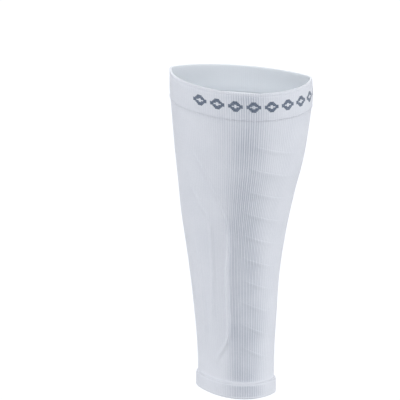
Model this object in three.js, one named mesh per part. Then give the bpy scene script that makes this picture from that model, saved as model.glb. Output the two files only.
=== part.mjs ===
import * as THREE from "three";

// A calf compression sleeve: one knitted leg tube between a turned top welt and a turned ankle welt,
// in the form that it has on a leg. Millimetres. +Z runs up to the knee, -X to the shin, +X to the back
// of the calf, -Y to the near side and +Y to the far side. The origin lies on the leg's axis where the
// calf is fullest.

// Lengths along the leg
const LENGTH = 306;
const CALF_BELOW_RIM = 15;
const TOP_WELT_HEIGHT = 26;
const ANKLE_WELT_HEIGHT = 15;
const SEAM_GAP = 0.3;

// Outer half sizes from the leg's axis where the calf is fullest
const CALF_SHIN = 65;
const CALF_BACK = 65;
const CALF_NEAR = 57;
const CALF_FAR = 41;

// Outer half sizes from the leg's axis at the ankle
const ANKLE_SHIN = 39.5;
const ANKLE_BACK = 31.2;
const ANKLE_NEAR = 29;
const ANKLE_FAR = 27;

// The knit and its two double layers
const KNIT_WALL = 1.2;
const WELT_WALL = 2.2;
const WELT_PROUD = 0.4;
const HEM_WALL = 3;
const HEM_PROUD = 1.8;

// The courses run down towards the back of the calf, a little more at the hem than at the rim, and the rim
// dips between its two corners
const RIM_SLANT_DEG = 4.2;
const HEM_SLANT_DEG = 5.5;
const RIM_DIP = 4.3;

// How round the section's two folds are, at shin and back: 0 leaves them as the form's corners make them
const FOLD_ROUNDING = 0.4;

// The knitted relief
const PANEL_RISE = 0.3;
const PANEL_EDGE_RISE = 0.6;
const PANEL_EDGE_HALF_WIDTH = 5;
const SHIN_RIDGE_RISE = 0.35;
const SHIN_RIDGE_HALF_WIDTH = 6;
const WAVE_RISE = 0.7;
const WAVE_PITCH = 22.7;
const WAVE_HALF_WIDTH = 7;
const WAVE_FALL = 60;

// The finish
const TOP_WELT_WHITE = 0xe6e9f0;
const LEG_WHITE = 0xe4e7ef;
const ANKLE_WELT_WHITE = 0xe8ebf1;
const KNIT_ROUGHNESS = 0.85;

// How finely the faces are cut
const COLUMNS = 76;
const TUBE_OUTER_STEPS = 44;
const TUBE_INNER_STEPS = 9;
const WELT_STEPS = 3;
const FOLD_STEPS = 4;

// The form of the leg. Height is a share of the length above the hem. Shin, back, near and far go from
// 0, the ankle's half size, to 1, the calf's. Dip is a share of the rim's dip.
const FORM = [
  { height: 0.0, shin: 0.0, back: 0.0, near: 0.0, far: 0.0, dip: 0.0 },
  { height: 0.05, shin: 0.0, back: 0.0, near: 0.0, far: 0.0, dip: 0.0 },
  { height: 0.15, shin: 0.03, back: 0.01, near: 0.02, far: 0.04, dip: 0.05 },
  { height: 0.25, shin: 0.13, back: 0.06, near: 0.09, far: 0.12, dip: 0.1 },
  { height: 0.35, shin: 0.26, back: 0.11, near: 0.19, far: 0.26, dip: 0.2 },
  { height: 0.45, shin: 0.42, back: 0.21, near: 0.33, far: 0.44, dip: 0.3 },
  { height: 0.55, shin: 0.59, back: 0.36, near: 0.5, far: 0.66, dip: 0.4 },
  { height: 0.65, shin: 0.71, back: 0.55, near: 0.68, far: 0.9, dip: 0.5 },
  { height: 0.75, shin: 0.83, back: 0.77, near: 0.84, far: 1.06, dip: 0.65 },
  { height: 0.85, shin: 0.93, back: 0.91, near: 0.95, far: 1.08, dip: 0.8 },
  { height: 0.95, shin: 1.0, back: 1.0, near: 1.0, far: 1.03, dip: 0.95 },
  { height: 1.0, shin: 1.0, back: 0.98, near: 1.0, far: 1.0, dip: 1.0 },
];

// The ends of the section, at shin and back, for its near half apart and for both ends of its far half. At
// 1 the half is an ellipse. Above 1 it comes to a point there, as a leaf does, and below 1 it is blunt.
const ENDS = [
  { height: 0.0, nearShin: 1.7, nearBack: 1.6, farBoth: 1.6 },
  { height: 0.05, nearShin: 1.6, nearBack: 1.5, farBoth: 1.5 },
  { height: 0.15, nearShin: 1.35, nearBack: 1.3, farBoth: 1.3 },
  { height: 0.25, nearShin: 1.2, nearBack: 1.2, farBoth: 1.2 },
  { height: 0.35, nearShin: 1.1, nearBack: 1.1, farBoth: 1.1 },
  { height: 0.55, nearShin: 1.1, nearBack: 1.1, farBoth: 1.1 },
  { height: 0.65, nearShin: 1.05, nearBack: 1.1, farBoth: 1.1 },
  { height: 0.75, nearShin: 0.95, nearBack: 1.1, farBoth: 1.15 },
  { height: 0.85, nearShin: 0.85, nearBack: 1.05, farBoth: 1.3 },
  { height: 0.95, nearShin: 0.7, nearBack: 1.0, farBoth: 1.6 },
  { height: 1.0, nearShin: 0.63, nearBack: 1.0, farBoth: 1.8 },
];

// Raised lines of the shin panel. Across is a share of the width from shin to back, and strength a share
// of the line's rise, which fades out at both ends.
const PANEL_EDGE = [
  { height: 0.12, across: 0.24, strength: 0.0 },
  { height: 0.15, across: 0.32, strength: 1.0 },
  { height: 0.19, across: 0.38, strength: 1.0 },
  { height: 0.26, across: 0.43, strength: 1.0 },
  { height: 0.36, across: 0.41, strength: 1.0 },
  { height: 0.48, across: 0.43, strength: 1.0 },
  { height: 0.56, across: 0.42, strength: 1.0 },
  { height: 0.65, across: 0.35, strength: 1.0 },
  { height: 0.71, across: 0.27, strength: 0.9 },
  { height: 0.77, across: 0.17, strength: 0.6 },
  { height: 0.82, across: 0.1, strength: 0.0 },
];
const INNER_RIDGE = [
  { height: 0.2, across: 0.22, strength: 0.0 },
  { height: 0.31, across: 0.24, strength: 1.0 },
  { height: 0.46, across: 0.27, strength: 1.0 },
  { height: 0.57, across: 0.26, strength: 1.0 },
  { height: 0.63, across: 0.16, strength: 0.8 },
  { height: 0.72, across: 0.07, strength: 0.0 },
];
const SHIN_RIDGE = [
  { height: 0.1, across: 0.1, strength: 0.0 },
  { height: 0.23, across: 0.13, strength: 1.0 },
  { height: 0.41, across: 0.12, strength: 1.0 },
  { height: 0.52, across: 0.1, strength: 0.0 },
];

// Where the calf waves show: a share of their rise, across the width and up the length
const WAVES_ACROSS = [
  { across: 0.45, strength: 0.0 },
  { across: 0.62, strength: 0.8 },
  { across: 0.75, strength: 1.0 },
  { across: 0.88, strength: 0.6 },
  { across: 1.0, strength: 0.3 },
];
const WAVES_UP = [
  { height: 0.06, strength: 0.0 },
  { height: 0.12, strength: 1.0 },
  { height: 0.8, strength: 1.0 },
  { height: 0.9, strength: 0.0 },
];
const WAVES_CENTRE = 0.7;
const FIRST_WAVE = 0.82;

const rimSlope = Math.tan(THREE.MathUtils.degToRad(RIM_SLANT_DEG));
const hemSlope = Math.tan(THREE.MathUtils.degToRad(HEM_SLANT_DEG));

// How steeply a column runs through one of its rows: level at its ends, flats and turning points.
function slopeAt(rows, key, column, index) {
  const before = rows[Math.max(index - 1, 0)];
  const here = rows[index];
  const after = rows[Math.min(index + 1, rows.length - 1)];
  const turns = (here[column] - before[column]) * (after[column] - here[column]) <= 0;
  return turns ? 0 : (after[column] - before[column]) / (after[key] - before[key]);
}

// A column of a table at any place along its key, smooth through the rows and level past its ends.
function read(rows, key, column, at) {
  const last = rows.length - 1;
  if (at <= rows[0][key]) return rows[0][column];
  if (at >= rows[last][key]) return rows[last][column];
  const above = rows.findIndex((row) => row[key] > at);
  const below = above - 1;
  const span = rows[above][key] - rows[below][key];
  const t = (at - rows[below][key]) / span;
  const rise = t * t * (3 - 2 * t);
  const leave = t * (1 - t) * (1 - t) * span * slopeAt(rows, key, column, below);
  const arrive = t * t * (t - 1) * span * slopeAt(rows, key, column, above);
  return THREE.MathUtils.lerp(rows[below][column], rows[above][column], rise) + leave + arrive;
}

// A half size of the leg between its ankle and its calf.
function halfSize(ankle, calf, column, height) {
  return THREE.MathUtils.lerp(ankle, calf, read(FORM, "height", column, height));
}

// A rounded bump that is 1 at distance 0 and 0 from the half width on.
function bump(distance, halfWidth) {
  const share = Math.min(Math.abs(distance) / halfWidth, 1);
  return (1 + Math.cos(Math.PI * share)) / 2;
}

// How far a raised line lifts the face at a place.
function lineRise(line, rise, halfWidth, across, height, width) {
  const distance = (across - read(line, "height", "across", height)) * width;
  return rise * read(line, "height", "strength", height) * bump(distance, halfWidth);
}

// The relief of the knit's outer face.
function relief(across, height, width) {
  const edge = read(PANEL_EDGE, "height", "across", height);
  const insideEdge = (edge - across) * width;
  const inPanel = THREE.MathUtils.smoothstep(insideEdge, -PANEL_EDGE_HALF_WIDTH, PANEL_EDGE_HALF_WIDTH);
  const panel = PANEL_RISE * inPanel * read(PANEL_EDGE, "height", "strength", height);
  const lineAt = (line, rise, halfWidth) => lineRise(line, rise, halfWidth, across, height, width);
  const panelEdge = lineAt(PANEL_EDGE, PANEL_EDGE_RISE, PANEL_EDGE_HALF_WIDTH);
  const innerRidge = lineAt(INNER_RIDGE, SHIN_RIDGE_RISE, SHIN_RIDGE_HALF_WIDTH);
  const shinRidge = lineAt(SHIN_RIDGE, SHIN_RIDGE_RISE, SHIN_RIDGE_HALF_WIDTH);
  const belowFirst = (FIRST_WAVE - height) * LENGTH - (across - WAVES_CENTRE) * WAVE_FALL;
  const fromCrest = belowFirst - WAVE_PITCH * Math.round(belowFirst / WAVE_PITCH);
  const shownAcross = read(WAVES_ACROSS, "across", "strength", across);
  const shownUp = read(WAVES_UP, "height", "strength", height);
  const wave = WAVE_RISE * shownAcross * shownUp * bump(fromCrest, WAVE_HALF_WIDTH);
  return panel + panelEdge + innerRidge + shinRidge + wave;
}

// How deep the section is at a turn, as a share of its half depth: 0 at shin and back, 1 between them.
function depthShare(turn, height) {
  const side = Math.sin(turn);
  const across = (1 - Math.cos(turn)) / 2;
  const atShin = read(ENDS, "height", side > 0 ? "nearShin" : "farBoth", height);
  const atBack = read(ENDS, "height", side > 0 ? "nearBack" : "farBoth", height);
  const pointed = Math.abs(side) ** THREE.MathUtils.lerp(atShin, atBack, across);
  return Math.hypot(pointed, FOLD_ROUNDING * side) / Math.hypot(1, FOLD_ROUNDING);
}

// One point of the sleeve. Turn goes once round from the shin, over the near side, the back and the far
// side. Course is the height above the hem in millimetres, and out is how far the point lies outside
// the knit's plain outer face, negative inside it.
function pointAt(turn, course, out) {
  const height = course / LENGTH;
  const shin = halfSize(ANKLE_SHIN, CALF_SHIN, "shin", height) + out;
  const back = halfSize(ANKLE_BACK, CALF_BACK, "back", height) + out;
  const near = halfSize(ANKLE_NEAR, CALF_NEAR, "near", height) + out;
  const far = halfSize(ANKLE_FAR, CALF_FAR, "far", height) + out;
  const side = Math.sin(turn);
  const depth = depthShare(turn, height);
  const x = (back - shin) / 2 - ((back + shin) / 2) * Math.cos(turn);
  const y = side > 0 ? -near * depth : far * depth;
  const dip = RIM_DIP * read(FORM, "height", "dip", height) * side * side;
  const slope = THREE.MathUtils.lerp(hemSlope, rimSlope, height);
  return new THREE.Vector3(x, y, course - slope * x - dip);
}

// The same with the knit's relief on it.
function knitPointAt(turn, course) {
  const height = course / LENGTH;
  const across = (1 - Math.cos(turn)) / 2;
  const shin = halfSize(ANKLE_SHIN, CALF_SHIN, "shin", height);
  const back = halfSize(ANKLE_BACK, CALF_BACK, "back", height);
  return pointAt(turn, course, relief(across, height, shin + back));
}

// A closed wall lofted through rings of points: up the outer face, over the edge, down the inner face
// and back to the first ring.
function wallThrough(rings) {
  const positions = rings.flat().flatMap((point) => point.toArray());
  const faces = [];
  rings.forEach((ring, row) => {
    const next = (row + 1) % rings.length;
    for (let column = 0; column < COLUMNS; column += 1) {
      const beside = (column + 1) % COLUMNS;
      const a = row * COLUMNS + column;
      const b = row * COLUMNS + beside;
      const c = next * COLUMNS + beside;
      const d = next * COLUMNS + column;
      faces.push(a, b, c, a, c, d);
    }
  });
  const geometry = new THREE.BufferGeometry();
  geometry.setAttribute("position", new THREE.Float32BufferAttribute(positions, 3));
  geometry.setIndex(faces);
  geometry.computeVertexNormals();
  return geometry;
}

// A ring of points round the leg.
function ring(place) {
  return Array.from({ length: COLUMNS }, (_, column) => place((2 * Math.PI * column) / COLUMNS));
}

// Heights spaced evenly from one to another, both ends included.
function heightsBetween(start, end, steps) {
  return Array.from({ length: steps + 1 }, (_, step) => THREE.MathUtils.lerp(start, end, step / steps));
}

// The leg tube: a single layer of knit with its relief outside, plain inside.
function legTube() {
  const bottom = ANKLE_WELT_HEIGHT + SEAM_GAP;
  const top = LENGTH - TOP_WELT_HEIGHT - SEAM_GAP;
  const outer = heightsBetween(bottom, top, TUBE_OUTER_STEPS).map((course) =>
    ring((turn) => knitPointAt(turn, course)),
  );
  const inner = heightsBetween(top, bottom, TUBE_INNER_STEPS).map((course) =>
    ring((turn) => pointAt(turn, course, -KNIT_WALL)),
  );
  return wallThrough([...outer, ...inner]);
}

// A welt: a band of knit turned back on itself, flat where it joins the tube and round at its fold.
function welt(joined, folded, wall, proud) {
  const upwards = Math.sign(folded - joined);
  const roundStart = folded - (upwards * wall) / 2;
  const middle = proud - wall / 2;
  const outer = heightsBetween(joined, roundStart, WELT_STEPS).map((course) =>
    ring((turn) => pointAt(turn, course, proud)),
  );
  const fold = Array.from({ length: FOLD_STEPS - 1 }, (_, step) => {
    const angle = (Math.PI * (step + 1)) / FOLD_STEPS;
    const course = roundStart + ((upwards * wall) / 2) * Math.sin(angle);
    return ring((turn) => pointAt(turn, course, middle + (wall / 2) * Math.cos(angle)));
  });
  const inner = heightsBetween(roundStart, joined, WELT_STEPS).map((course) =>
    ring((turn) => pointAt(turn, course, proud - wall)),
  );
  const rings = [...outer, ...fold, ...inner];
  return wallThrough(upwards > 0 ? rings : rings.reverse());
}

// A named mesh in its own white knit.
function piece(name, geometry, color) {
  const material = new THREE.MeshStandardMaterial({ color, roughness: KNIT_ROUGHNESS, metalness: 0 });
  const mesh = new THREE.Mesh(geometry, material);
  mesh.name = name;
  return mesh;
}

const topWelt = welt(LENGTH - TOP_WELT_HEIGHT, LENGTH, WELT_WALL, WELT_PROUD);
const ankleWelt = welt(ANKLE_WELT_HEIGHT, 0, HEM_WALL, HEM_PROUD);

// The pieces stand on the hem's level, and the leg group lowers them to the fullest part of the calf.
const leg = new THREE.Group();
leg.position.z = CALF_BELOW_RIM - LENGTH;
leg.add(piece("top_welt", topWelt, TOP_WELT_WHITE));
leg.add(piece("leg_tube", legTube(), LEG_WHITE));
leg.add(piece("ankle_welt", ankleWelt, ANKLE_WELT_WHITE));

const sleeve = new THREE.Group();
sleeve.add(leg);

export default sleeve;
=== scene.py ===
# %% [markdown]
# # A knitted calf compression sleeve
#
# A compression sleeve is one long knitted tube. The machine knits a band at the knee end, turns it in on
# itself, knits the leg with panels and waves in relief, and closes with a narrow turned band at the ankle.
# This script dresses the imported model of such a sleeve. The imported solids give its size and place. Here each
# of its three zones becomes a dense knit, with real ribs, real relief and a knit finish.
#
# The first lines load the imported model.

# %% The imported frame
import math

import bpy
import numpy as np
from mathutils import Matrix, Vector


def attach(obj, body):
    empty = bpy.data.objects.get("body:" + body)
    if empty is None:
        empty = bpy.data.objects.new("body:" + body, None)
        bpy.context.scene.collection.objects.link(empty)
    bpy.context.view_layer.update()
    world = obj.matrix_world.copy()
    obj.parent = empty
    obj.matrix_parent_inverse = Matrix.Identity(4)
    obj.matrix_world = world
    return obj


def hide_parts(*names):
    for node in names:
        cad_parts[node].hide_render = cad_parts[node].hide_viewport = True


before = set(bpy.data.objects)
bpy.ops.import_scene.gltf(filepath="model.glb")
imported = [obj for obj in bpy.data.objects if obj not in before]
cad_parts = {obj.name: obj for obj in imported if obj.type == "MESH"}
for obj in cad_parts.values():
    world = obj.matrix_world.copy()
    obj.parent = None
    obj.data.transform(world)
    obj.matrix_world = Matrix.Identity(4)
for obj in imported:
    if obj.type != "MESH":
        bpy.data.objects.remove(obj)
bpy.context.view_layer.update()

# %% [markdown]
# ## Camera
#
# The photograph is taken from a few metres away with a long lens, a little from above: the open rim shows
# its inside, and the hem bows downwards. A long lens far away keeps both ends of the sleeve at nearly the
# same scale. The camera aims beside the sleeve, because the sleeve stands right of the picture's middle.

# %% Camera
PICTURE_PIXELS = 400
METRES_PER_PIXEL = 0.92e-3
CAMERA_DISTANCE = 3.8
CAMERA_HEIGHT_ANGLE = math.radians(17.0)
AIM = Vector((-0.0377, 0.0, -0.1069))
SENSOR_MM = 36.0

camera_data = bpy.data.cameras.new("camera")
camera_data.sensor_width = SENSOR_MM
camera_data.lens = SENSOR_MM * CAMERA_DISTANCE / (METRES_PER_PIXEL * PICTURE_PIXELS)
camera_data.clip_end = 200.0
camera = bpy.data.objects.new("camera", camera_data)
bpy.context.scene.collection.objects.link(camera)
towards_camera = Vector((0.0, -math.cos(CAMERA_HEIGHT_ANGLE), math.sin(CAMERA_HEIGHT_ANGLE)))
camera.location = AIM + towards_camera * CAMERA_DISTANCE
camera.rotation_euler = (-towards_camera).to_track_quat("-Z", "Y").to_euler()
bpy.context.scene.camera = camera
print("lens", round(camera_data.lens), "mm")

# %% [markdown]
# ## The form of the leg
#
# The sleeve has the form of the leg inside it. A leg could be sculpted, but a few sections describe it
# better: half sizes at the calf and at the ankle, and a short table of how full the leg is in between.
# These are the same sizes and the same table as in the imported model, in metres.

# %% Sizes of the sleeve
LENGTH = 0.306
CALF_BELOW_RIM = 0.015
TOP_WELT_HEIGHT = 0.026
ANKLE_WELT_HEIGHT = 0.015
CALF = {"shin": 0.065, "back": 0.065, "near": 0.057, "far": 0.041}
ANKLE = {"shin": 0.0395, "back": 0.0312, "near": 0.029, "far": 0.027}
KNIT_WALL = 0.0012
WELT_WALL = 0.0022
WELT_PROUD = 0.0004
HEM_WALL = 0.003
HEM_PROUD = 0.0018
RIM_SLOPE = math.tan(math.radians(4.2))
HEM_SLOPE = math.tan(math.radians(5.5))
RIM_DIP = 0.0043
FOLD_ROUNDING = 0.4


# %% A table that is read smoothly between its rows
class Table:
    """Rows under named columns. The first column is the key that the others are read by."""

    def __init__(self, names, rows):
        self.columns = dict(zip(names, np.array(rows, float).T))
        self.key = self.columns[names[0]]

    def slopes(self, values):
        """How steeply a column runs through its rows: level at its ends, flats and turning points."""
        slopes = np.zeros_like(values)
        steps = np.diff(values)
        runs = steps[:-1] * steps[1:] > 0
        middle = (values[2:] - values[:-2]) / (self.key[2:] - self.key[:-2])
        slopes[1:-1] = np.where(runs, middle, 0.0)
        return slopes

    def read(self, name, at):
        values = self.columns[name]
        slopes = self.slopes(values)
        at = np.clip(at, self.key[0], self.key[-1])
        above = np.clip(np.searchsorted(self.key, at, side="right"), 1, len(self.key) - 1)
        below = above - 1
        span = self.key[above] - self.key[below]
        t = (at - self.key[below]) / span
        rise = t * t * (3 - 2 * t)
        leave = t * (1 - t) ** 2 * span * slopes[below]
        arrive = t * t * (t - 1) * span * slopes[above]
        return values[below] + (values[above] - values[below]) * rise + leave + arrive


FORM = Table(
    ("height", "shin", "back", "near", "far", "dip"),
    (
        (0.00, 0.00, 0.00, 0.00, 0.00, 0.00),
        (0.05, 0.00, 0.00, 0.00, 0.00, 0.00),
        (0.15, 0.03, 0.01, 0.02, 0.04, 0.05),
        (0.25, 0.13, 0.06, 0.09, 0.12, 0.10),
        (0.35, 0.26, 0.11, 0.19, 0.26, 0.20),
        (0.45, 0.42, 0.21, 0.33, 0.44, 0.30),
        (0.55, 0.59, 0.36, 0.50, 0.66, 0.40),
        (0.65, 0.71, 0.55, 0.68, 0.90, 0.50),
        (0.75, 0.83, 0.77, 0.84, 1.06, 0.65),
        (0.85, 0.93, 0.91, 0.95, 1.08, 0.80),
        (0.95, 1.00, 1.00, 1.00, 1.03, 0.95),
        (1.00, 1.00, 0.98, 1.00, 1.00, 1.00),
    ),
)
# At 1 half a section is an ellipse. Above 1 its ends come to a point, and below 1 they are blunt.
ENDS = Table(
    ("height", "near_shin", "near_back", "far_both"),
    (
        (0.00, 1.70, 1.60, 1.60),
        (0.05, 1.60, 1.50, 1.50),
        (0.15, 1.35, 1.30, 1.30),
        (0.25, 1.20, 1.20, 1.20),
        (0.35, 1.10, 1.10, 1.10),
        (0.55, 1.10, 1.10, 1.10),
        (0.65, 1.05, 1.10, 1.10),
        (0.75, 0.95, 1.10, 1.15),
        (0.85, 0.85, 1.05, 1.30),
        (0.95, 0.70, 1.00, 1.60),
        (1.00, 0.63, 1.00, 1.80),
    ),
)


# %% Points of the sleeve
def half_size(side, height):
    """The knit's outer half size on one side of the leg's axis."""
    return ANKLE[side] + (CALF[side] - ANKLE[side]) * FORM.read(side, height)


def depth_share(turn, height):
    """How deep the section is at a turn, as a share of its half depth: 0 at shin and back."""
    side = np.sin(turn)
    across = (1 - np.cos(turn)) / 2
    at_shin = np.where(side > 0, ENDS.read("near_shin", height), ENDS.read("far_both", height))
    at_back = np.where(side > 0, ENDS.read("near_back", height), ENDS.read("far_both", height))
    pointed = np.abs(side) ** (at_shin + (at_back - at_shin) * across)
    return np.hypot(pointed, FOLD_ROUNDING * side) / math.hypot(1.0, FOLD_ROUNDING)


def points_at(turn, course, out):
    """Points of the sleeve. Turn goes once round from the shin over the near side, the back and the far
    side, course is the height above the hem, and out is how far outside the plain outer face it lies."""
    height = course / LENGTH
    shin, back, near, far = (half_size(side, height) + out for side in ("shin", "back", "near", "far"))
    side = np.sin(turn)
    x = (back - shin) / 2 - (back + shin) / 2 * np.cos(turn)
    y = np.where(side > 0, -near, far) * depth_share(turn, height)
    dip = RIM_DIP * FORM.read("dip", height) * side * side
    slope = HEM_SLOPE + (RIM_SLOPE - HEM_SLOPE) * height
    z = course + CALF_BELOW_RIM - LENGTH - slope * x - dip
    return np.stack([x, y, z], axis=-1)


# %% [markdown]
# ## Wales
#
# The upright rows of stitches in a knit are its wales. A round machine has a fixed number of needles, so
# the wales are as many at the ankle as at the calf, only closer together, and they lie evenly round the leg.
# So the grid of the mesh follows the wales: four columns of faces to a wale, spread evenly by length and not
# by angle, on the near half and on the far half.

# %% Wales spread evenly round the leg
NEAR_WALES = 88
FAR_WALES = 80
WALES = NEAR_WALES + FAR_WALES
COLUMNS_PER_WALE = 4
COLUMNS = WALES * COLUMNS_PER_WALE
SAMPLES_ROUND_HALF = 600


def even_turns(course):
    """The turn of every column at one course, evenly spaced along each half of the section."""
    turns = []
    for first, wales in ((0.0, NEAR_WALES), (math.pi, FAR_WALES)):
        fine = first + math.pi / 2 * (1 - np.cos(np.linspace(0.0, math.pi, SAMPLES_ROUND_HALF)))
        points = points_at(fine, np.full_like(fine, course), 0.0)
        steps = np.linalg.norm(np.diff(points, axis=0), axis=1)
        along = np.concatenate([[0.0], np.cumsum(steps)])
        count = wales * COLUMNS_PER_WALE
        wanted = along[-1] * np.arange(count) / count
        turns.append(np.interp(wanted, along, fine))
    return np.concatenate(turns)


print(WALES, "wales,", COLUMNS, "columns")

# %% [markdown]
# ## Relief of the leg
#
# Tighter and looser knit make a relief. A raised edge runs down the side of the shin panel and ends in a
# hook above the ankle, softer ridges run inside it, and waves cross the calf. Between shin panel and calf
# lies a band of deeper ribs. Each raised line, and the band, is a short table of where it runs, from 0 at
# the shin to 1 at the back. Python only measures how far every point lies from the lines, in metres, and
# the node tree below turns the distances into relief, so that the relief's own sizes stay inputs.

# %% Raised lines and waves
LINE_COLUMNS = ("height", "across", "strength")
RAISED_LINES = {
    "panel_edge": Table(
        LINE_COLUMNS,
        (
            (0.10, 0.22, 0.0),
            (0.13, 0.28, 0.45),
            (0.17, 0.37, 0.75),
            (0.20, 0.405, 1.0),
            (0.30, 0.41, 1.0),
            (0.40, 0.415, 1.0),
            (0.50, 0.437, 1.0),
            (0.56, 0.425, 1.0),
            (0.60, 0.385, 0.7),
            (0.65, 0.325, 0.5),
            (0.70, 0.26, 0.5),
            (0.76, 0.18, 0.4),
            (0.82, 0.09, 0.0),
        ),
    ),
    "inner_ridge": Table(
        LINE_COLUMNS,
        (
            (0.20, 0.22, 0.0),
            (0.31, 0.24, 1.0),
            (0.46, 0.27, 1.0),
            (0.57, 0.26, 1.0),
            (0.63, 0.16, 0.8),
            (0.72, 0.07, 0.0),
        ),
    ),
    "shin_ridge": Table(
        LINE_COLUMNS,
        (
            (0.10, 0.10, 0.0),
            (0.23, 0.13, 1.0),
            (0.41, 0.12, 1.0),
            (0.52, 0.10, 0.0),
        ),
    ),
}
WAVES_ACROSS = Table(
    ("across", "strength"),
    ((0.52, 0.0), (0.64, 0.9), (0.75, 1.0), (0.88, 0.25), (1.0, 0.15)),
)
WAVES_UP = Table(
    ("height", "strength"),
    ((0.06, 0.0), (0.12, 1.0), (0.8, 1.0), (0.9, 0.0)),
)
WAVE_PITCH = 0.0227
WAVE_FALL = 0.038
WAVES_CENTRE = 0.7
FIRST_WAVE = 0.82

RIBBED_BAND = Table(
    ("height", "left", "left_soft", "right", "right_soft"),
    (
        (0.00, 0.42, 0.010, 0.79, 0.009),
        (0.12, 0.42, 0.006, 0.81, 0.010),
        (0.25, 0.44, 0.003, 0.82, 0.011),
        (0.50, 0.45, 0.004, 0.74, 0.010),
        (0.62, 0.43, 0.010, 0.70, 0.011),
        (0.80, 0.42, 0.018, 0.66, 0.013),
        (1.00, 0.41, 0.020, 0.65, 0.013),
    ),
)


def smooth_step(values, start, end):
    """0 at start, 1 at end, and smooth between."""
    share = np.clip((values - start) / (end - start), 0.0, 1.0)
    return share * share * (3 - 2 * share)


def ribbing_share(turn, course):
    """1 in the band of deep ribs down the side of the leg, 0 in the smoother panels."""
    height = course / LENGTH
    across = (1 - np.cos(turn)) / 2
    width = half_size("shin", height) + half_size("back", height)
    left_soft, right_soft = (RIBBED_BAND.read(side, height) for side in ("left_soft", "right_soft"))
    past_left = (across - RIBBED_BAND.read("left", height)) * width
    before_right = (RIBBED_BAND.read("right", height) - across) * width
    return smooth_step(past_left, -left_soft, left_soft) * smooth_step(before_right, -right_soft, right_soft)


def relief_distances(turn, course):
    """For every point, how far it lies from each raised line and from the nearest wave, and how strongly
    each shows there. Across is how far it lies from shin to back."""
    height = course / LENGTH
    across = (1 - np.cos(turn)) / 2
    width = half_size("shin", height) + half_size("back", height)
    found = {}
    for name, line in RAISED_LINES.items():
        found[name + "_distance"] = (across - line.read("across", height)) * width
        found[name + "_strength"] = line.read("strength", height)
    below_first = (FIRST_WAVE - height) * LENGTH - (across - WAVES_CENTRE) * WAVE_FALL
    found["wave_distance"] = below_first - WAVE_PITCH * np.round(below_first / WAVE_PITCH)
    found["waves"] = WAVES_ACROSS.read("strength", across) * WAVES_UP.read("strength", height)
    found["across"] = across
    return found


# %% [markdown]
# ## The base meshes
#
# Each zone is a closed wall: rings go up its outer face, over its edge, down its inner face and back to the
# first ring. A profile says at which course and how far out each ring lies, and how deep its ribs are. The
# texture map counts wales across and metres up, so the finish can follow the knit. What the node tree needs
# is stored on the points. Where two zones meet, their cut ends are shaded flat, because smooth shading over
# the corner would draw a line round the leg.

# %% A closed knitted wall through rings
INSIDE_DEPTH = 0.4 * KNIT_WALL
SAME_COURSE = 1e-7


def wall_mesh(name, profile, with_relief):
    """A closed wall through rings, each given as (course, out, ribs), with ribs from 0, smooth, to 1. It
    stores, on its points, the direction outwards, the wale that they lie on, and what the relief needs."""
    courses, outs, ribs = np.array(profile).T
    turns = np.stack([even_turns(course) for course in courses])
    course_grid = np.repeat(courses[:, None], COLUMNS, axis=1)
    points = points_at(turns, course_grid, outs[:, None])
    outward = points_at(turns, course_grid, outs[:, None] + KNIT_WALL) - points
    outward /= np.linalg.norm(outward, axis=-1, keepdims=True)

    ring_count = len(profile)
    index = np.arange(ring_count * COLUMNS).reshape(ring_count, COLUMNS)
    beside = np.roll(index, -1, axis=1)
    above = np.roll(index, -1, axis=0)
    faces = np.stack([index, beside, np.roll(above, -1, axis=1), above], axis=-1).reshape(-1, 4)
    mesh = bpy.data.meshes.new(name)
    mesh.from_pydata(points.reshape(-1, 3), [], faces)

    wale = np.arange(COLUMNS) / COLUMNS_PER_WALE
    next_wale = wale + 1 / COLUMNS_PER_WALE
    low = np.repeat(courses[:, None], COLUMNS, axis=1)
    high = np.roll(low, -1, axis=0)
    left = np.repeat(wale[None, :], ring_count, axis=0)
    right = np.repeat(next_wale[None, :], ring_count, axis=0)
    corners = [[left, low], [right, low], [right, high], [left, high]]
    uv = np.stack([np.stack(pair, axis=-1) for pair in corners], axis=2)
    layer = mesh.uv_layers.new(name="knit")
    layer.data.foreach_set("uv", uv.astype(np.float32).ravel())

    inside = np.repeat((outs < -INSIDE_DEPTH)[:, None], COLUMNS, axis=1)
    stored = {
        "wale": np.repeat(wale[None, :], ring_count, axis=0),
        "course": course_grid,
        "ribbing": ribbing_share(turns, course_grid),
        "ribs": np.repeat(ribs[:, None], COLUMNS, axis=1),
        "inside": inside,
    }
    if with_relief:
        stored.update(relief_distances(turns, course_grid))
    for key, values in stored.items():
        numbers = mesh.attributes.new(key, "FLOAT", "POINT")
        numbers.data.foreach_set("value", values.astype(np.float32).ravel())
    direction = mesh.attributes.new("outward", "FLOAT_VECTOR", "POINT")
    direction.data.foreach_set("vector", outward.astype(np.float32).ravel())
    mesh.shade_smooth()
    ends = np.repeat(np.isclose(np.roll(courses, -1), courses, atol=SAME_COURSE), COLUMNS)
    mesh.polygons.foreach_set("use_smooth", ~ends)
    made = bpy.data.objects.new(name, mesh)
    bpy.context.scene.collection.objects.link(made)
    print(name, len(mesh.vertices), "points", len(faces), "faces")
    return made


# %% [markdown]
# ## Shoulders and profiles
#
# The two bands are two layers thick, so they stand out from the tube, the hem most of all. The knit goes
# over that step in a gentle shoulder. On the hem's shoulder it is pulled smooth, without ribs and so without
# their painted groove shade, which shows as a pale line.
# The shoulder is one rule of height, shared by the profiles of tube and bands, so their edges meet exactly.

# %% Shoulders where the tube and its two bands meet
TOP_JOINT = LENGTH - TOP_WELT_HEIGHT
TOP_SHOULDER_HALF = 0.004
ANKLE_SHOULDER_HALF = 0.0023
SMOOTH_HALF = 0.0030
SMOOTH_CORE = 0.2


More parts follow.
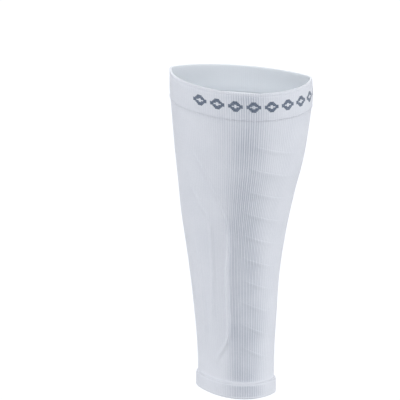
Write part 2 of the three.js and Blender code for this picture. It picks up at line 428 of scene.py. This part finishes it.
def stand_out(course):
    """How far the outer face stands out from the plain knit at a course, with a gentle shoulder at each
    band, because the tube is pulled out a little where a band begins."""
    above_hem = course - ANKLE_WELT_HEIGHT
    above_joint = course - TOP_JOINT
    hem = smooth_step(above_hem, ANKLE_SHOULDER_HALF, -ANKLE_SHOULDER_HALF)
    top = smooth_step(above_joint, -TOP_SHOULDER_HALF, TOP_SHOULDER_HALF)
    return HEM_PROUD * hem + WELT_PROUD * top


def rib_share(course):
    """1 where the ribs are whole, 0 on the hem's shoulder, where the knit is pulled smooth."""
    return smooth_step(np.abs(course - ANKLE_WELT_HEIGHT), SMOOTH_CORE * SMOOTH_HALF, SMOOTH_HALF)


# %% Profiles of the three zones
TUBE_END_RINGS = 11
TUBE_OUTER_RINGS = 98
TUBE_INNER_RINGS = 22
BAND_RINGS = 10
LIP_RINGS = 9
FOLD_RINGS = 9
SHOULDER_RINGS = 9
SHOULDER_MARGIN = 0.001
GROOVE_SHARE = 0.4
INNER_RIBS = 0.4
# The fold keeps some ribs, and with them painted groove shade that dims its pale lip.
FOLD_RIBS_AND_SHADE = 0.35
INNER_SHOULDER = 0.006
INNER_SHOULDER_RINGS = 5


def tube_profile():
    """Up the outer face of the leg tube and down its inner face. Both ends meet the bands edge to edge."""
    bottom, top = ANKLE_WELT_HEIGHT, TOP_JOINT
    low, high = ANKLE_WELT_HEIGHT + ANKLE_SHOULDER_HALF, TOP_JOINT - TOP_SHOULDER_HALF
    courses = np.concatenate(
        [
            np.linspace(bottom, low, TUBE_END_RINGS)[:-1],
            np.linspace(low, high, TUBE_OUTER_RINGS)[:-1],
            np.linspace(high, top, TUBE_END_RINGS),
        ]
    )
    outer = list(zip(courses, stand_out(courses), rib_share(courses)))
    down = np.linspace(top, bottom, TUBE_INNER_RINGS)
    return outer + [(course, -KNIT_WALL, INNER_RIBS) for course in down]


def band_profile(joined, folded, wall, shoulder_half, lip, lip_groove, ribs):
    """From the joined edge over the shoulder, along the band, over the groove beside the lip, round the
    fold, and back inside to the tube's inner face."""
    up = math.copysign(1.0, folded - joined)
    proud = float(stand_out(np.array(folded)))
    fold_start = folded - up * wall / 2
    lip_start = folded - up * lip
    outer = []
    for share in np.linspace(0.0, 1.0, SHOULDER_RINGS):
        course = joined + up * (shoulder_half + SHOULDER_MARGIN) * share
        plain = 1.0 + (ribs - 1.0) * share
        outer.append((course, float(stand_out(course)), plain * float(rib_share(course))))
    band = np.linspace(outer[-1][0], lip_start, BAND_RINGS)[1:-1]
    outer += [(course, proud, ribs * float(rib_share(course))) for course in band]
    for share in np.linspace(0.0, 1.0, LIP_RINGS):
        in_groove = min(share / GROOVE_SHARE, 1.0)
        groove = lip_groove * math.sin(math.pi * in_groove)
        fade = ribs + (FOLD_RIBS_AND_SHADE - ribs) * in_groove
        outer.append((lip_start + (fold_start - lip_start) * share, proud - groove, fade))
    fold = []
    for angle in np.linspace(0.0, math.pi, FOLD_RINGS + 2)[1:-1]:
        course = fold_start + up * wall / 2 * math.sin(angle)
        fold.append((course, proud - wall / 2 * (1 - math.cos(angle)), FOLD_RIBS_AND_SHADE))
    inner_end = joined + up * INNER_SHOULDER
    inner = [(course, proud - wall, INNER_RIBS) for course in np.linspace(fold_start, inner_end, BAND_RINGS)]
    for share in np.linspace(1.0, 0.0, INNER_SHOULDER_RINGS + 1)[1:]:
        depth = KNIT_WALL + (wall - proud - KNIT_WALL) * smooth_step(share, 0.0, 1.0)
        inner.append((joined + up * INNER_SHOULDER * share, -depth, INNER_RIBS))
    rings = outer + fold + inner
    return rings if up > 0 else rings[::-1]


leg_tube = wall_mesh("knit_leg", tube_profile(), True)
top_welt = wall_mesh(
    "knit_top_welt",
    band_profile(
        TOP_JOINT,
        LENGTH,
        WELT_WALL,
        TOP_SHOULDER_HALF,
        lip=0.0032,
        lip_groove=0.00028,
        ribs=0.95,
    ),
    False,
)
ankle_welt = wall_mesh(
    "knit_ankle_welt",
    band_profile(
        ANKLE_WELT_HEIGHT,
        0.0,
        HEM_WALL,
        ANKLE_SHOULDER_HALF,
        lip=0.0030,
        lip_groove=0.0,
        ribs=0.9,
    ),
    False,
)

# %% [markdown]
# ## Writing node maths as maths
#
# Trees for shapes and trees for finishes both need sums and products. One small class wraps a socket and
# stands in formulas like a number, and a second one makes any other node in one call.


# %% Sockets as values
class Value:
    """A socket in a formula. An expression on values adds its Math nodes to the tree."""

    def __init__(self, tree, socket):
        self.tree = tree
        self.socket = socket

    def maths(self, operation, *others):
        return self.tree.value("ShaderNodeMath", {"operation": operation}, [self, *others])

    def __add__(self, other):
        return self.maths("ADD", other)

    def __sub__(self, other):
        return self.maths("SUBTRACT", other)

    def __rsub__(self, other):
        return self.tree.value("ShaderNodeMath", {"operation": "SUBTRACT"}, [other, self])

    def __mul__(self, other):
        return self.maths("MULTIPLY", other)

    def __truediv__(self, other):
        return self.maths("DIVIDE", other)

    def __pow__(self, other):
        return self.maths("POWER", other)

    __radd__ = __add__
    __rmul__ = __mul__

    def fraction(self):
        return self.maths("FRACT")

    def whole(self):
        return self.maths("FLOOR")

    def size(self):
        return self.maths("ABSOLUTE")

    def cosine(self):
        return self.maths("COSINE")

    def sine(self):
        return self.maths("SINE")

    def at_most(self, other):
        return self.maths("MINIMUM", other)

    def at_least(self, other):
        return self.maths("MAXIMUM", other)

    def below(self, other):
        return self.maths("LESS_THAN", other)

    def step(self, start, end):
        """0 at start, 1 at end, and smooth between. Start may be the larger one."""
        settings = {"interpolation_type": "SMOOTHSTEP"}
        inputs = {"Value": self, "From Min": start, "From Max": end}
        return self.tree.value("ShaderNodeMapRange", settings, inputs)


class Tree:
    """Makes the nodes of one tree."""

    def __init__(self, tree):
        self.tree = tree
        self.nodes = tree.nodes
        self.nodes.clear()

    def node(self, kind, settings=None, inputs=None):
        """A node of a kind. Its settings come first, then its inputs' values or links, by name or order."""
        made = self.nodes.new(kind)
        for name, setting in (settings or {}).items():
            setattr(made, name, setting)
        pairs = inputs.items() if isinstance(inputs, dict) else enumerate(inputs or ())
        for name, given in pairs:
            socket = made.inputs[name]
            if isinstance(given, Value):
                self.tree.links.new(given.socket, socket)
            else:
                socket.default_value = given
        return made

    def value(self, kind, settings=None, inputs=None, output=0):
        """One output of a new node, as a value."""
        return Value(self, self.node(kind, settings, inputs).outputs[output])


# %% [markdown]
# ## One rule for the ribs
#
# Every wale is a rib. Towards the ankle the wales crowd, and two of them begin to read as one coarser rib.
# The shapes and the finishes need the same ribs, so one function writes the rule as node maths for both
# kinds of tree.

# %% Ribs as node maths
COARSE_AT_CALF = 0.15
COARSE_AT_ANKLE = 0.5
COARSE_ABOVE = 0.19
COARSE_BELOW = 0.05


def rib_height(wale, course):
    """1 on the crest of a rib, 0 in the groove."""
    every_wale = ((wale * math.tau).cosine() + 1.0) / 2.0
    every_second = ((wale * math.pi).cosine() + 1.0) / 2.0
    coarse = course.step(COARSE_ABOVE, COARSE_BELOW) * (COARSE_AT_ANKLE - COARSE_AT_CALF) + COARSE_AT_CALF
    return every_wale * (1.0 - coarse) + every_second * coarse


# %% [markdown]
# ## Relief by Geometry Nodes
#
# The ribs, the panel's edge, the ridges and the waves all follow one rule: a rounded bump, so high and so
# wide, round a line. They could be sculpted, but a node tree can do it by that rule. It reads the stored
# distances, adds up the bumps and moves every point outwards by the sum. Its inputs are the bumps' heights
# and widths, in metres. The ribs are shallow in the panels and deep in the band between them.

# %% The relief tree
RELIEF_SIZES = {
    "Panel Rib Depth": 0.00010,
    "Band Rib Depth": 0.00040,
    "Panel Rise": 0.0003,
    "Panel Edge Rise": 0.0018,
    "Panel Edge Half Width": 0.0022,
    "Ridge Rise": 0.0009,
    "Ridge Half Width": 0.0032,
    "Wave Rise": 0.00028,
    "Wave Half Width": 0.006,
}


def new_shape_tree(name, sizes, more_inputs=()):
    """An empty Geometry Nodes tree with a geometry input and named size inputs."""
    group = bpy.data.node_groups.new(name, "GeometryNodeTree")
    group.interface.new_socket("Geometry", in_out="INPUT", socket_type="NodeSocketGeometry")
    for size in sizes:
        group.interface.new_socket(size, in_out="INPUT", socket_type="NodeSocketFloat")
    for label, kind in more_inputs:
        group.interface.new_socket(label, in_out="INPUT", socket_type=kind)
    group.interface.new_socket("Geometry", in_out="OUTPUT", socket_type="NodeSocketGeometry")
    return group


def stored_direction(tree, name):
    """A direction that is stored on the points."""
    return tree.value("GeometryNodeInputNamedAttribute", {"data_type": "FLOAT_VECTOR"}, {"Name": name})


def close_tree(tree, geometry, material):
    """Real geometry in one finish leaves the tree."""
    real = tree.value("GeometryNodeRealizeInstances", None, {"Geometry": geometry})
    finished = tree.value("GeometryNodeSetMaterial", None, {"Geometry": real, "Material": material})
    tree.node("NodeGroupOutput", None, {"Geometry": finished})


def relief_tree(with_relief):
    group = new_shape_tree("knit relief", RELIEF_SIZES, [("Knit", "NodeSocketMaterial")])
    tree = Tree(group)
    given = tree.node("NodeGroupInput")
    size = {name: Value(tree, given.outputs[name]) for name in RELIEF_SIZES}

    def stored(name):
        return tree.value("GeometryNodeInputNamedAttribute", {"data_type": "FLOAT"}, {"Name": name})

    def bump(distance, half_width):
        share = (distance.size() / half_width).at_most(1.0)
        return ((share * math.pi).cosine() + 1.0) / 2.0

    deeper = stored("ribbing") * (size["Band Rib Depth"] - size["Panel Rib Depth"])
    depth = (deeper + size["Panel Rib Depth"]) * stored("ribs")
    relief = (rib_height(stored("wale"), stored("course")) - 0.5) * depth
    if with_relief:
        edge, strength = stored("panel_edge_distance"), stored("panel_edge_strength")
        inside = edge.step(size["Panel Edge Half Width"], size["Panel Edge Half Width"] * -1.0)
        relief += inside * strength * size["Panel Rise"]
        relief += bump(edge, size["Panel Edge Half Width"]) * strength * size["Panel Edge Rise"]
        for ridge in ("inner_ridge", "shin_ridge"):
            rise = bump(stored(ridge + "_distance"), size["Ridge Half Width"]) * size["Ridge Rise"]
            relief += rise * stored(ridge + "_strength")
        wave = bump(stored("wave_distance"), size["Wave Half Width"]) * size["Wave Rise"]
        relief += wave * stored("waves")
    direction = stored_direction(tree, "outward")
    offset = tree.value("ShaderNodeVectorMath", {"operation": "SCALE"}, {0: direction, "Scale": relief})
    moved = tree.value(
        "GeometryNodeSetPosition",
        None,
        {"Geometry": Value(tree, given.outputs["Geometry"]), "Offset": offset},
    )
    close_tree(tree, moved, Value(tree, given.outputs["Knit"]))
    return group


SPENT_ENDINGS = ("_distance", "_strength", "outward")


def grow(piece, group, values):
    """Runs a tree on a piece with these inputs and keeps the result as the piece's plain mesh."""
    modifier = piece.modifiers.new(group.name, "NODES")
    modifier.node_group = group
    for item in group.interface.items_tree:
        if item.in_out == "INPUT" and item.name in values:
            modifier[item.identifier] = values[item.name]
    depsgraph = bpy.context.evaluated_depsgraph_get()
    grown = bpy.data.meshes.new_from_object(piece.evaluated_get(depsgraph), depsgraph=depsgraph)
    piece.modifiers.clear()
    piece.data = grown
    for spent in [layer.name for layer in grown.attributes if layer.name.endswith(SPENT_ENDINGS)]:
        grown.attributes.remove(grown.attributes[spent])
    grown.calc_loop_triangles()
    print(piece.name, len(grown.loop_triangles), "triangles")


# %% [markdown]
# ## The knit's finish
#
# White nylon knit is not plain white. The grooves between the wales lie in shade, which the finish paints in
# as a darker tone, strongest in the band of deep ribs. Each stitch is a small V of two lustrous yarns, and its
# low part gets painted shade too. The inside faces get painted light: they are painted much paler, for the
# light that comes through the thin wall. The tone varies a little with the tension. A photograph of cloth could
# be laid over it, but the finish reads the knit's own map instead, so all of it follows the leg. The lustre is
# a soft sheen. Every wave has a sharp upper line that is finer than the mesh, so the finish adds it as a bump.
# The row of marks at the top is knitted in a second yarn, so its edges step by stitches.

# %% Colours and sizes of the finish
YARN_WHITE = (0.73, 0.748, 0.80, 1.0)
# Painted shade for the grooves between the wales.
PAINTED_GROOVE_SHADE = (0.45, 0.48, 0.55, 1.0)
# Painted light: the inside faces are painted much paler, for the light that comes through the thin wall.
INSIDE_PAINTED_LIGHT = (0.93, 0.965, 1.0, 1.0)
INSIDE_PAINTED_LIGHT_SHARE = 0.86
MARK_SLATE = (0.10, 0.13, 0.185, 1.0)
MARK_FLECK = (0.19, 0.225, 0.29, 1.0)
# How much of the painted groove shade the smooth panels get.
PANEL_GROOVE_SHADE = 0.12
STITCH_HEIGHT = 0.0011
STITCH_LEAN = 0.55
TENSION_SCALE = 38.0
TENSION_IN_RIBS = 0.8
TENSION_IN_TONE = 0.3
FLECK_SCALE = 900.0
FLECK_IN_TONE = 0.25
FLECKS_IN_MARKS = (0.35, 0.75)
# Painted shade in the low part of each stitch.
LOOP_PAINTED_SHADE = 0.10
YARN_RELIEF = 0.00007
CREST_RELIEF = 0.5
LOOP_RELIEF = 0.3
FLECK_RELIEF = 0.3
CREASE_RISE = 0.00027
CREASE_ABOVE = 0.0014
CREASE_BELOW = 0.0042
KNIT_ROUGHNESS = 0.72
LINK_ROUGHNESS = 0.7
UNEVEN_ROUGHNESS = 0.2
SHEEN = 0.25
SHEEN_ROUGHNESS = 0.45

# %% The row of marks
MARKS_BELOW_RIM = 0.0129
MARK_HALF_HEIGHT = 0.0060
MARK_HALF_WALES = 3.5
MARK_BLUNT = 0.8
MARK_OPENING = 0.38
MARK_PITCH_WALES = 7.5
FIRST_MARK_WALE = 27.0
MARKS = 9


def knitted_marks(wale, course):
    """1 inside a row of open lozenges with blunt ends, stepped by half wales across and by stitches up."""
    step_wale = ((wale * 2.0).whole() + 0.5) / 2.0
    step_course = ((course / STITCH_HEIGHT).whole() + 0.5) * STITCH_HEIGHT
    up = (step_course - (LENGTH - MARKS_BELOW_RIM)).size()
    along = (step_wale - FIRST_MARK_WALE) / MARK_PITCH_WALES + 0.5
    from_middle = (along.fraction() - 0.5).size() * MARK_PITCH_WALES
    across, upwards = from_middle / MARK_HALF_WALES, up / MARK_HALF_HEIGHT
    lozenge = (across + upwards).below(1.0) * across.at_least(upwards).below(MARK_BLUNT)
    opening = (across + upwards).below(MARK_OPENING)
    within = (1.0 - along.below(0.0)) * along.below(MARKS)
    return lozenge * (1.0 - opening) * within


# %% The knit's materials
def mix_colour(tree, share, low, high):
    """A colour between two."""
    node = tree.node("ShaderNodeMix", {"data_type": "RGBA"})
    for socket, given in ((node.inputs[0], share), (node.inputs[6], low), (node.inputs[7], high)):
        if isinstance(given, Value):
            tree.tree.links.new(given.socket, socket)
        else:
            socket.default_value = given
    return Value(tree, node.outputs[2])


def stored_share(tree, name):
    """A number that is stored on the mesh."""
    return tree.value("ShaderNodeAttribute", {"attribute_name": name}, None, 2)


def close_finish(tree, colour, roughness, normal):
    """The yarn's shader, with the soft sheen of nylon, leaves the tree."""
    inputs = {
        "Base Color": colour,
        "Roughness": roughness,
        "Normal": normal,
        "Sheen Weight": SHEEN,
        "Sheen Roughness": SHEEN_ROUGHNESS,
    }
    shader = tree.value("ShaderNodeBsdfPrincipled", None, inputs)
    tree.node("ShaderNodeOutputMaterial", None, {"Surface": shader})


def wave_crease(tree, course):
    """1 on the sharp line of every wave, which is steep above and gentle below, as far as waves show."""
    below_first = FIRST_WAVE * LENGTH - course - (stored_share(tree, "across") - WAVES_CENTRE) * WAVE_FALL
    below = ((below_first / WAVE_PITCH + 0.5).fraction() - 0.5) * WAVE_PITCH
    share = (below / CREASE_BELOW).at_least(below / -CREASE_ABOVE).at_most(1.0)
    return ((share * math.pi).cosine() + 1.0) / 2.0 * stored_share(tree, "waves")


def knit_material(name, marked, waved):
    """The finish of one zone, with or without the row of marks and the waves' sharp lines."""
    material = bpy.data.materials.new(name)
    material.use_nodes = True
    tree = Tree(material.node_tree)
    place = tree.value("ShaderNodeUVMap", {"uv_map": "knit"})
    split = tree.node("ShaderNodeSeparateXYZ", None, {"Vector": place})
    wale, course = Value(tree, split.outputs[0]), Value(tree, split.outputs[1])
    ribbing, ribs, inside = (stored_share(tree, name) for name in ("ribbing", "ribs", "inside"))

    groove = 1.0 - rib_height(wale, course)
    from_crest = ((wale + 0.5).fraction() - 0.5).size() * 2.0
    stitch = (course / STITCH_HEIGHT + from_crest * STITCH_LEAN).fraction()
    loop = (stitch * math.tau).sine()

    coordinates = tree.value("ShaderNodeTexCoord", None, None, 3)
    broad = {"Vector": coordinates, "Scale": TENSION_SCALE, "Detail": 3.0}
    fine = {"Vector": coordinates, "Scale": FLECK_SCALE, "Detail": 2.0}
    tension = tree.value("ShaderNodeTexNoise", None, broad) - 0.5
    fleck = tree.value("ShaderNodeTexNoise", None, fine)

    # Painted shade: the grooves and the low part of each stitch are darker, most in the band of deep ribs, and
    # patchy with the tension.
    shade = groove * (ribbing * (1.0 - PANEL_GROOVE_SHADE) + PANEL_GROOVE_SHADE) * ribs
    shade *= tension * TENSION_IN_RIBS + 1.0
    shade += (0.5 - loop * 0.5) * LOOP_PAINTED_SHADE + (fleck - 0.5) * FLECK_IN_TONE + tension * TENSION_IN_TONE
    colour = mix_colour(tree, shade.at_least(0.0).at_most(1.0), YARN_WHITE, PAINTED_GROOVE_SHADE)
    # Painted light on the inside faces, for the light that comes through the thin wall.
    colour = mix_colour(tree, inside * INSIDE_PAINTED_LIGHT_SHARE, colour, INSIDE_PAINTED_LIGHT)
    if marked:
        slate = mix_colour(tree, fleck.step(*FLECKS_IN_MARKS), MARK_SLATE, MARK_FLECK)
        marks = knitted_marks(wale, course) * (1.0 - inside)
        colour = mix_colour(tree, marks, colour, slate)
    crest = (1.0 - groove) * ribs * CREST_RELIEF
    height = (crest + loop * LOOP_RELIEF + fleck * FLECK_RELIEF) * YARN_RELIEF
    if waved:
        height += wave_crease(tree, course) * CREASE_RISE
    bump = tree.value("ShaderNodeBump", None, {"Height": height, "Distance": 1.0, "Strength": 1.0})
    close_finish(tree, colour, KNIT_ROUGHNESS + (fleck - 0.5) * UNEVEN_ROUGHNESS, bump)
    print("material", name, len(tree.nodes), "nodes")
    return material


leg_knit = knit_material("leg knit", marked=False, waved=True)
top_knit = knit_material("top welt knit", marked=True, waved=False)
ankle_knit = knit_material("ankle welt knit", marked=False, waved=False)

# %% [markdown]
# ## Knitting the three zones
#
# The tree runs on each base mesh, with the same sizes, so the ribs run on from one zone into the next. Their
# profiles let the ribs fade where the knit turns over a fold.

# %% Knit the zones
grow(leg_tube, relief_tree(True), {**RELIEF_SIZES, "Knit": leg_knit})
grow(top_welt, relief_tree(False), {**RELIEF_SIZES, "Knit": top_knit})
grow(ankle_welt, relief_tree(False), {**RELIEF_SIZES, "Knit": ankle_knit})

# %% [markdown]
# ## Linking rows
#
# Each welt is turned in and linked to the tube by a row of small stitches, one to a wale. Modelled one by
# one they would be hundreds of objects. A node tree makes one stitch, an arch of yarn, and puts it on every
# point of a ring, turned to the wall and to the ring's direction. The stitches are finer at the ankle.

# %% The tree of a linking row
LINK_SIZES = {"Stitch Width": 0.0015, "Yarn Radius": 0.0002}
ARCH_POINTS = 6
YARN_SIDES = 5


def linking_tree():
    group = new_shape_tree("linking row", LINK_SIZES, [("Knit", "NodeSocketMaterial")])
    tree = Tree(group)
    given = tree.node("NodeGroupInput")
    size = {name: Value(tree, given.outputs[name]) for name in LINK_SIZES}
    arch = tree.value(
        "GeometryNodeCurveArc",
        {"mode": "RADIUS"},
        {
            "Resolution": ARCH_POINTS,
            "Radius": size["Stitch Width"] / 2.0,
            "Start Angle": 0.0,
            "Sweep Angle": math.pi,
        },
    )
    yarn = tree.value(
        "GeometryNodeCurvePrimitiveCircle",
        {"mode": "RADIUS"},
        {"Resolution": YARN_SIDES, "Radius": size["Yarn Radius"]},
    )
    stitch = tree.value(
        "GeometryNodeCurveToMesh",
        None,
        {"Curve": arch, "Profile Curve": yarn, "Fill Caps": True},
    )
    laid = tree.value(
        "GeometryNodeTransform",
        None,
        {"Geometry": stitch, "Rotation": (math.pi / 2, 0.0, 0.0), "Scale": (1.0, 1.0, 0.5)},
    )

    turned = tree.value(
        "FunctionNodeAlignRotationToVector",
        {"axis": "Z"},
        {"Vector": stored_direction(tree, "outward")},
    )
    turned = tree.value(
        "FunctionNodeAlignRotationToVector",
        {"axis": "X", "pivot_axis": "Z"},
        {"Rotation": turned, "Vector": stored_direction(tree, "along")},
    )
    row = tree.value(
        "GeometryNodeInstanceOnPoints",
        None,
        {"Points": Value(tree, given.outputs["Geometry"]), "Instance": laid, "Rotation": turned},
    )
    close_tree(tree, row, Value(tree, given.outputs["Knit"]))
    return group


def linking_row(name, course, out, sizes, material):
    """A ring of points, one to a wale, with the directions that the tree needs, and the tree run on it."""
    turns = even_turns(course)[::COLUMNS_PER_WALE]
    courses = np.full_like(turns, course)
    points = points_at(turns, courses, out)
    outward = points_at(turns, courses, out + KNIT_WALL) - points
    along = np.roll(points, -1, axis=0) - np.roll(points, 1, axis=0)
    mesh = bpy.data.meshes.new(name)
    mesh.from_pydata(points, [], [])
    for key, vectors in (("outward", outward), ("along", along)):
        layer = mesh.attributes.new(key, "FLOAT_VECTOR", "POINT")
        layer.data.foreach_set("vector", vectors.astype(np.float32).ravel())
    row = bpy.data.objects.new(name, mesh)
    bpy.context.scene.collection.objects.link(row)
    grow(row, linking_tree(), {**sizes, "Knit": material})
    row.data.shade_smooth()
    return row


# %% Yarn of the linking rows
# The linking yarn is paler than the knit, partly as a painted highlight, so each joint shows a pale line.
LINK_WHITE_AND_HIGHLIGHT = (0.88, 0.89, 0.93, 1.0)
LINK_GREY = (0.78, 0.80, 0.85, 1.0)
FIBRE_SCALE = 1400.0
FIBRES_IN_TONE = (0.3, 0.8)
FIBRE_RELIEF = 0.00008

link_yarn = bpy.data.materials.new("linking yarn")
link_yarn.use_nodes = True
link_tree = Tree(link_yarn.node_tree)
place = link_tree.value("ShaderNodeTexCoord", None, None, 3)
fibres = {"Vector": place, "Scale": FIBRE_SCALE, "Detail": 2.0}
fibre = link_tree.value("ShaderNodeTexNoise", None, fibres)
link_tone = mix_colour(link_tree, fibre.step(*FIBRES_IN_TONE), LINK_WHITE_AND_HIGHLIGHT, LINK_GREY)
fibre_relief = {"Height": fibre, "Distance": FIBRE_RELIEF, "Strength": 0.5}
link_bump = link_tree.value("ShaderNodeBump", None, fibre_relief)
close_finish(link_tree, link_tone, LINK_ROUGHNESS + (fibre - 0.5) * UNEVEN_ROUGHNESS, link_bump)

# %% The two rows
ANKLE_LINK_SIZES = {"Stitch Width": 0.0011, "Yarn Radius": 0.00025}
LINK_LIFT = -0.00008

top_links = linking_row(
    "linking_row_top",
    TOP_JOINT,
    float(stand_out(TOP_JOINT)) + LINK_LIFT,
    LINK_SIZES,
    link_yarn,
)
ankle_links = linking_row(
    "linking_row_ankle",
    ANKLE_WELT_HEIGHT,
    float(stand_out(ANKLE_WELT_HEIGHT)) + LINK_LIFT,
    ANKLE_LINK_SIZES,
    link_yarn,
)

# %% [markdown]
# ## Light and ground
#
# The photograph has a pure white ground and soft light from both sides, and the middle of the sleeve, which
# faces the camera, is its darkest band. A floor and cloths round the sleeve could make that light. Here the
# world stands for them, without noise: it is white from well below the horizon to just above it, which is
# the ground that the camera sees, and dimmer elsewhere. Four broad far lamps give the light its directions.
# One above in front shows the relief, two beside the sleeve light its flanks, and one behind lights the rim.

# %% Lamps
def lamp(name, strength, spread, azimuth, elevation):
    """A broad far lamp. Its angles are in degrees, and azimuth 0 is in front, 90 right and 180 behind."""
    data = bpy.data.lights.new(name, "SUN")
    data.energy = strength
    data.angle = math.radians(spread)
    made = bpy.data.objects.new(name, data)
    bpy.context.scene.collection.objects.link(made)
    round_leg = math.radians(azimuth)
    level = math.cos(math.radians(elevation))
    above = math.sin(math.radians(elevation))
    towards = Vector((level * math.sin(round_leg), -level * math.cos(round_leg), above))
    made.rotation_euler = (-towards).to_track_quat("-Z", "Y").to_euler()
    print("lamp", name, strength)


lamp("behind", strength=1.5, spread=25.0, azimuth=180.0, elevation=30.0)
lamp("above in front", strength=1.42, spread=40.0, azimuth=0.0, elevation=45.0)
lamp("right", strength=0.96, spread=40.0, azimuth=95.0, elevation=-12.0)
lamp("left", strength=0.7, spread=40.0, azimuth=-95.0, elevation=-6.0)

# %% White ground and pale room
GROUND_LIGHT = 1.1
GROUND_BELOW = -0.55
GROUND_BELOW_SOFT = 0.05
GROUND_ABOVE = 0.06
GROUND_ABOVE_SOFT = 0.06
SIDE_LIGHT = 0.42
SIDE_POWER = 4.0
TOP_LIGHT = 0.75
TOP_POWER = 2.0
BACK_LIGHT = 0.3
BACK_EDGE = (0.1, 0.6)
BELOW_LIGHT = 0.3
ROOM_TINT = (0.95, 0.97, 1.0, 1.0)

world = bpy.data.worlds.new("studio")
world.use_nodes = True
bpy.context.scene.world = world
room = Tree(world.node_tree)
looking = room.node("ShaderNodeTexCoord")
split = room.node("ShaderNodeSeparateXYZ", None, {"Vector": Value(room, looking.outputs["Generated"])})
sideways, forwards, upwards = (Value(room, socket) for socket in split.outputs)
sides = sideways.size() ** SIDE_POWER * SIDE_LIGHT
top = upwards.at_least(0.0) ** TOP_POWER * TOP_LIGHT
below = upwards.step(GROUND_BELOW + GROUND_BELOW_SOFT, GROUND_BELOW - GROUND_BELOW_SOFT) * BELOW_LIGHT
ground = upwards.step(GROUND_BELOW - GROUND_BELOW_SOFT, GROUND_BELOW + GROUND_BELOW_SOFT)
ground *= upwards.step(GROUND_ABOVE + GROUND_ABOVE_SOFT, GROUND_ABOVE - GROUND_ABOVE_SOFT) * GROUND_LIGHT
back = forwards.step(*BACK_EDGE) * BACK_LIGHT
strength = (sides + top + below).at_least(back).at_least(ground)
shining = room.value("ShaderNodeBackground", None, {"Color": ROOM_TINT, "Strength": strength})
room.node("ShaderNodeOutputWorld", None, {"Surface": shining})
bpy.context.scene.view_settings.view_transform = "Standard"
print("ground", GROUND_LIGHT, "sides", SIDE_LIGHT, "top", TOP_LIGHT, "back", BACK_LIGHT)

# %% [markdown]
# ## Joining the knit to the frame
#
# Each zone stands for its imported solid and rides on the one body. A knitted tube is a sheet of cloth. Its
# flat size is what it measures off the leg, before it is stretched.

# %% Pieces, slots and flat sizes
LEG_FLAT = (0.220, 0.260)
TOP_WELT_FLAT = (0.290, 0.026)
ANKLE_WELT_FLAT = (0.165, 0.015)

for piece, node, slot, flat, links in (
    (leg_tube, "leg_tube", "leg_knit", LEG_FLAT, None),
    (top_welt, "top_welt", "top_welt_knit", TOP_WELT_FLAT, top_links),
    (ankle_welt, "ankle_welt", "ankle_welt_knit", ANKLE_WELT_FLAT, ankle_links),
):
    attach(piece, "root")
    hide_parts(node)
    if links:
        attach(links, "root")
